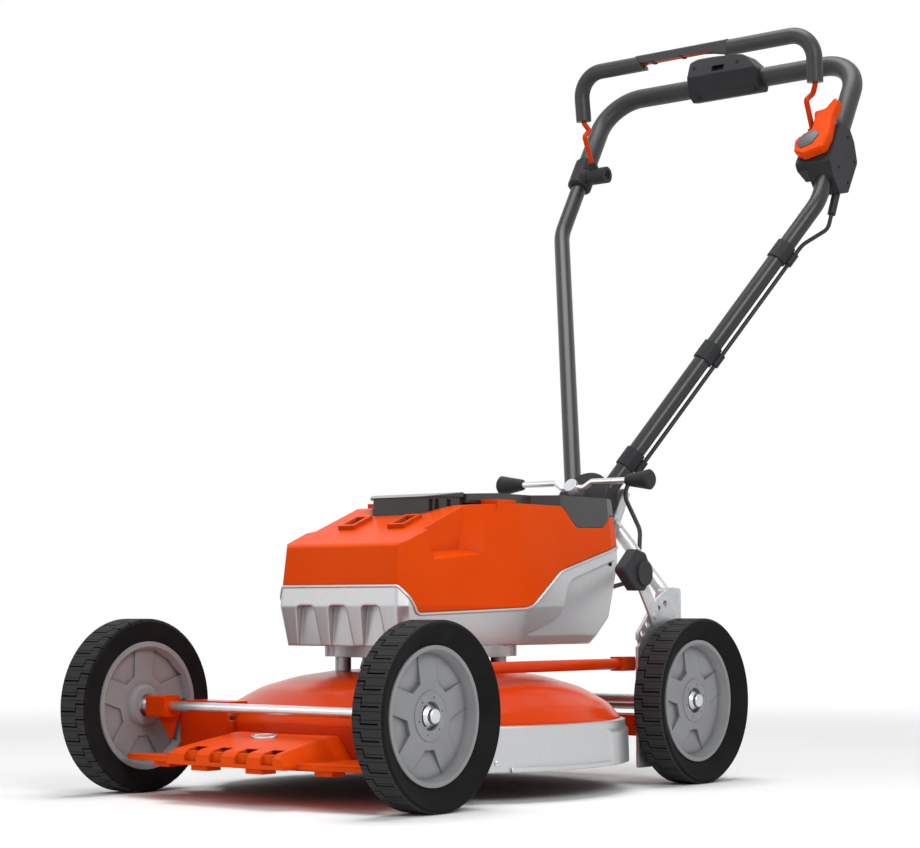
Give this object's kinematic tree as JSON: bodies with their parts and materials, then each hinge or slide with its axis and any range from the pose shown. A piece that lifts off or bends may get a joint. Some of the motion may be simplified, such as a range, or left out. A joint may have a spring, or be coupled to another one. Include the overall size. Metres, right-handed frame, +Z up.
{
  "type": "push lawn mower",
  "caption": "Walk-behind mower with a domed round deck, battery power head, wide wheels on swing arms, a height lever, and a single-stem handle with a bail and a swivel clamp.",
  "frame": {"origin": "on the ground, under the middle of the whole machine", "axes": "+Y to the rear, towards the handle bar, +X to the mower's left, +Z up"},
  "size_m": [0.52, 1.1478, 1.0885],
  "materials": {
    "orange_paint": "gloss powder coat",
    "orange_plastic": "satin moulded",
    "orange_rod": "gloss powder coat",
    "silver_plastic": "satin moulded",
    "dark_plastic": "fine grain",
    "inner_plastic": "matt",
    "tyre_rubber": "moulded tread",
    "rim_plastic": "satin moulded",
    "bright_steel": "zinc bright",
    "plain_steel": "turned",
    "blade_steel": "black coat",
    "galvanised_steel": "galvanised",
    "dark_steel": "satin coat",
    "cast_aluminium": "as cast",
    "black_tube": "satin powder coat",
    "grip_rubber": "soft grip",
    "cable_rubber": "smooth"
  },
  "bodies": {
    "chassis": {"cutter_deck": "orange_paint", "side_skirts": "silver_plastic", "front_apron": "orange_plastic", "front_brackets": "orange_paint", "front_pivot_pins": "plain_steel", "rear_brackets": "galvanised_steel", "lower_shell": "silver_plastic", "upper_shell": "orange_plastic", "vent_inserts": "inner_plastic", "battery_tray": "inner_plastic", "lid_housing": "dark_plastic", "lid_hinge_pin": "plain_steel", "electronics_box": "inner_plastic", "cable_gland": "inner_plastic", "motor_mount": "cast_aluminium", "motor_can": "dark_steel", "yoke_head": "galvanised_steel", "yoke_tubes": "galvanised_steel", "cable_lower": "cable_rubber"},
    "cutter": {"motor_rotor": "plain_steel", "blade_adapter": "cast_aluminium", "blade": "blade_steel", "blade_bolt": "plain_steel"},
    "rear_crank": {"rear_axle": "bright_steel", "rear_arms": "orange_paint", "rear_pivot_shaft": "plain_steel", "rear_bearings": "plain_steel", "rear_axle_nuts": "bright_steel", "height_lever": "plain_steel", "height_knob": "dark_plastic"},
    "front_crank": {"front_axle": "bright_steel", "front_arms": "orange_paint", "front_bearings": "plain_steel", "front_axle_nuts": "bright_steel"},
    "link": {"link_rod": "orange_paint"},
    "lid": {"battery_lid": "dark_plastic"},
    "handle": {"handle_foot": "dark_plastic", "handle_tube": "black_tube", "handle_grips": "grip_rubber", "control_box": "dark_plastic", "right_clamp": "dark_plastic", "control_panel": "dark_plastic", "cable_clips": "dark_plastic", "cable_upper": "cable_rubber", "cable_boot": "cable_rubber"},
    "clamp": {"clamp_lever": "bright_steel", "clamp_knobs": "dark_plastic"},
    "bail": {"bail_rod": "orange_rod", "bail_grips": "grip_rubber", "bail_hubs": "dark_plastic"},
    "thumb": {"thumb_lever": "orange_plastic"},
    "button": {"power_button": "inner_plastic"},
    "front_left_wheel": {"front_left_tyre": "tyre_rubber", "front_left_rim": "rim_plastic"},
    "front_right_wheel": {"front_right_tyre": "tyre_rubber", "front_right_rim": "rim_plastic"},
    "rear_left_wheel": {"rear_left_tyre": "tyre_rubber", "rear_left_rim": "rim_plastic"},
    "rear_right_wheel": {"rear_right_tyre": "tyre_rubber", "rear_right_rim": "rim_plastic"}
  },
  "joints": [
    {"name": "blade_spin", "type": "hinge", "parent": "chassis", "child": "cutter", "pos_m": [0, -0.20055, 0.06], "axis": [0, 0, 1], "continuous": true},
    {"name": "rear_crank_swing", "type": "hinge", "parent": "chassis", "child": "rear_crank", "pos_m": [0, 0.10585, 0.097], "axis": [1, 0, 0], "range_deg": [-13.2, 19.8]},
    {"name": "front_crank_swing", "type": "hinge", "parent": "chassis", "child": "front_crank", "pos_m": [0, -0.43095, 0.097], "axis": [1, 0, 0], "range_deg": [-13.2, 19.8]},
    {"name": "link_swing", "type": "hinge", "parent": "rear_crank", "child": "link", "pos_m": [0.165, 0.10585, 0.152], "axis": [1, 0, 0], "range_deg": [-19.8, 13.2]},
    {"name": "front_left_wheel_spin", "type": "hinge", "parent": "front_crank", "child": "front_left_wheel", "pos_m": [0.2306, -0.46895, 0.105], "axis": [1, 0, 0], "continuous": true},
    {"name": "front_right_wheel_spin", "type": "hinge", "parent": "front_crank", "child": "front_right_wheel", "pos_m": [-0.2306, -0.46895, 0.105], "axis": [1, 0, 0], "continuous": true},
    {"name": "rear_left_wheel_spin", "type": "hinge", "parent": "rear_crank", "child": "rear_left_wheel", "pos_m": [0.2306, 0.06785, 0.105], "axis": [1, 0, 0], "continuous": true},
    {"name": "rear_right_wheel_spin", "type": "hinge", "parent": "rear_crank", "child": "rear_right_wheel", "pos_m": [-0.2306, 0.06785, 0.105], "axis": [1, 0, 0], "continuous": true},
    {"name": "lid_hinge", "type": "hinge", "parent": "chassis", "child": "lid", "pos_m": [0, 0.06945, 0.358], "axis": [-1, 0, 0], "range_deg": [0, 70]},
    {"name": "handle_swivel", "type": "hinge", "parent": "chassis", "child": "handle", "pos_m": [0, 0.16235, 0.3697], "axis": [0, -0.8595, 0.5111], "range_deg": [-15, 15], "deforming": ["cable_lower"]},
    {"name": "clamp_turn", "type": "hinge", "parent": "chassis", "child": "clamp", "pos_m": [0, 0.16235, 0.3697], "axis": [0, -0.8595, 0.5111], "range_deg": [0, 35]},
    {"name": "bail_swing", "type": "hinge", "parent": "handle", "child": "bail", "pos_m": [0, 0.47146, 0.9051], "axis": [1, 0, 0], "range_deg": [-24, 0], "stiffness_Nm_per_rad": 2, "springref_deg": 20.05},
    {"name": "thumb_press", "type": "hinge", "parent": "handle", "child": "thumb", "pos_m": [0.2155, 0.44057, 0.89411], "axis": [0, 0.865, -0.5017], "range_deg": [0, 25], "stiffness_Nm_per_rad": 0.4, "springref_deg": -17.19},
    {"name": "button_press", "type": "slide", "parent": "handle", "child": "button", "axis": [0, 0, -1], "range_m": [0, 0.0015], "stiffness_N_per_m": 300, "springref_m": -0.001}
  ],
  "couplings": [
    {"joint": "front_crank_swing", "follows": "rear_crank_swing", "ratio": 1},
    {"joint": "link_swing", "follows": "rear_crank_swing", "ratio": -1}
  ]
}
